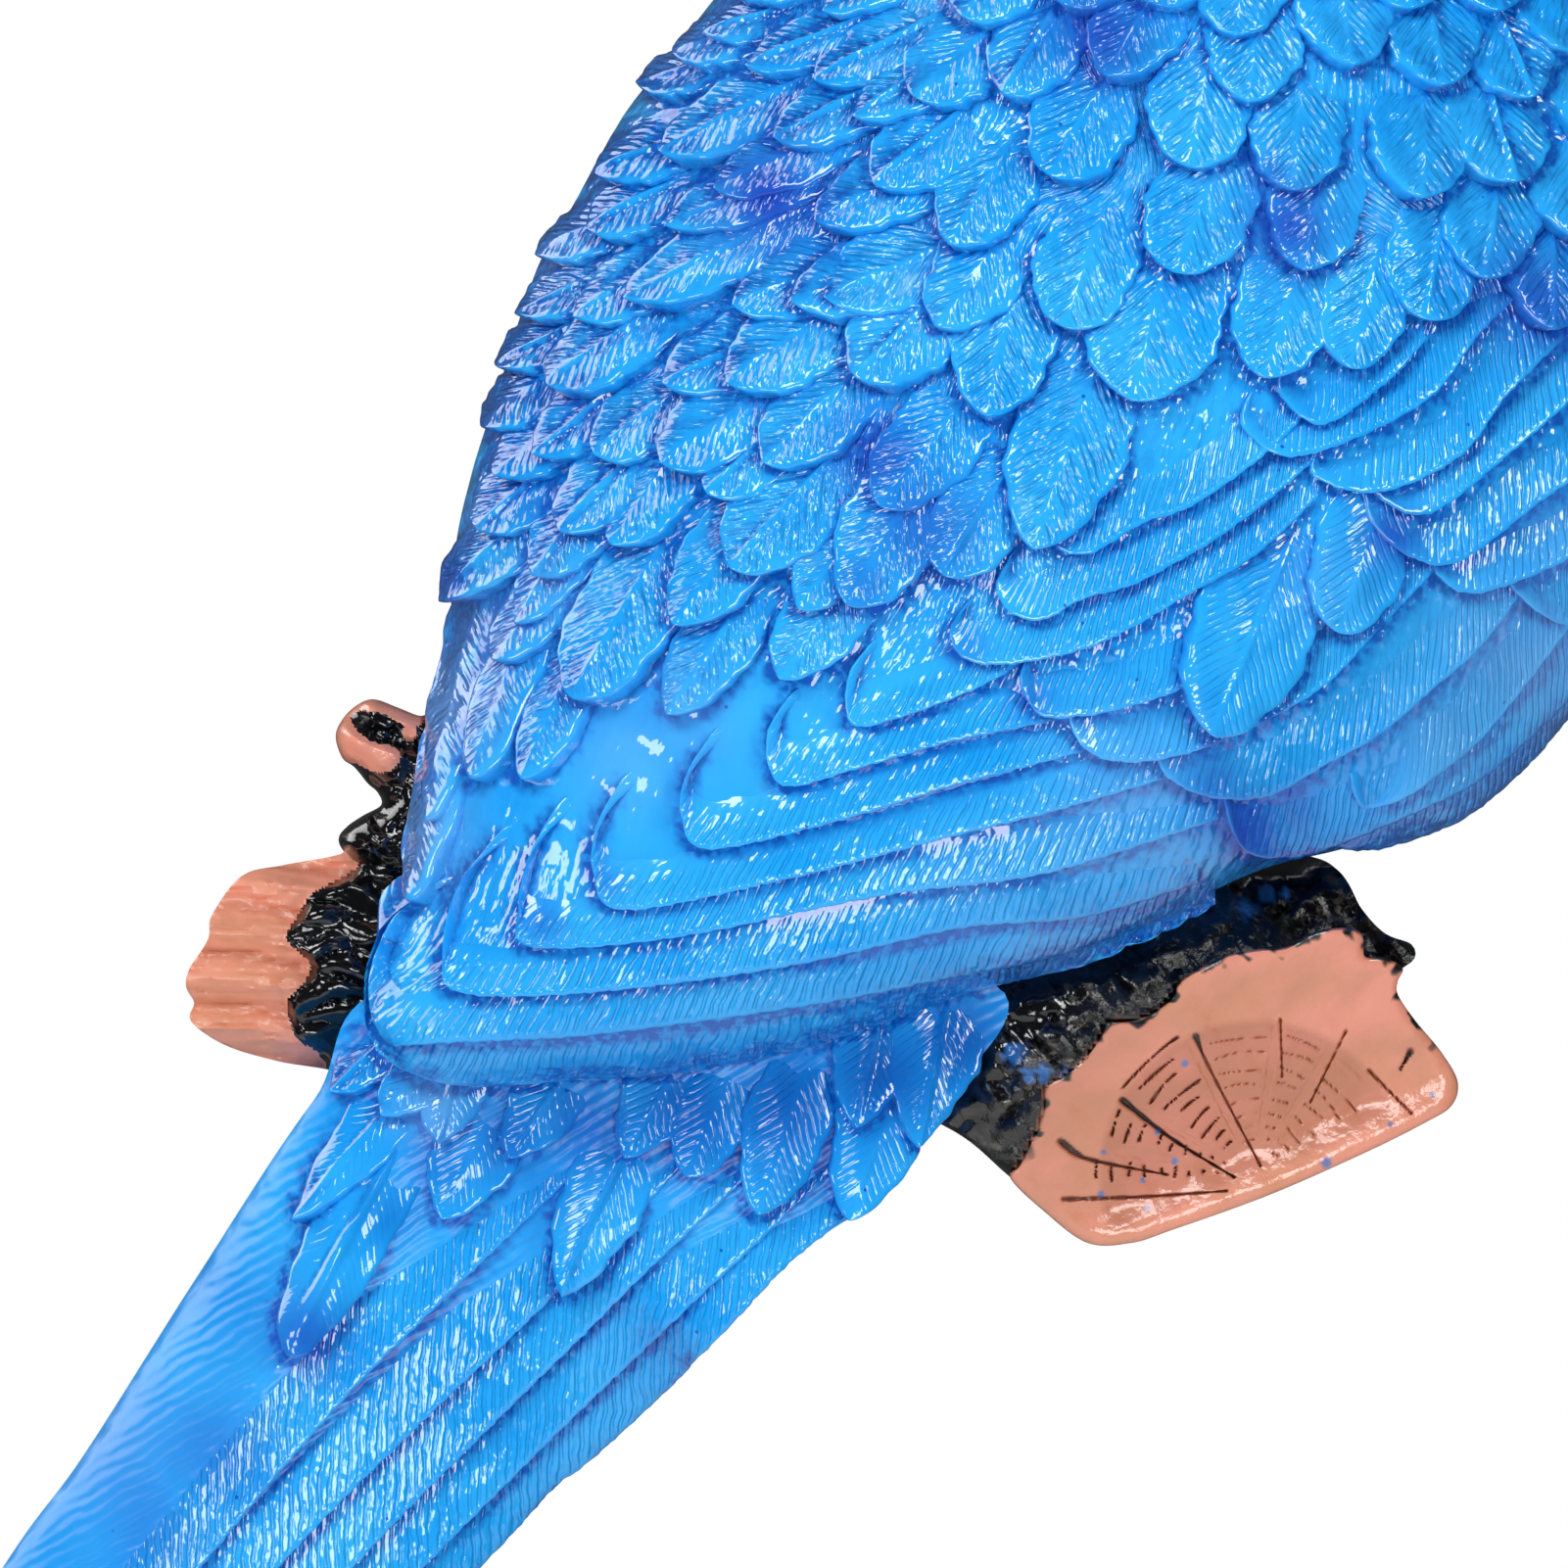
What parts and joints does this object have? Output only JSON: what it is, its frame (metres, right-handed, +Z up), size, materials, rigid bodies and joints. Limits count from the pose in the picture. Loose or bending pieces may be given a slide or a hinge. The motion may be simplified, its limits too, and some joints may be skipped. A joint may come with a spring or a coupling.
{
  "type": "parrot figurine",
  "caption": "Wall-hung cast resin parrot seen from behind, clinging to a short branch, with carved blue feathers, a long tail and a flat back.",
  "frame": {"origin": "on the flat back, which lies in the plane Y = 0 against the wall, at the middle of the pictured part of the bird", "axes": "+Y into the wall, front of the relief towards -Y, +Z up as hung, +X to the right seen from the front"},
  "size_m": [0.2134, 0.0573, 0.2854],
  "materials": {
    "painted_resin": "gloss blue, black and salmon paint over cast resin"
  },
  "bodies": {
    "root": {"parrot_figurine": "painted_resin"}
  },
  "joints": []
}
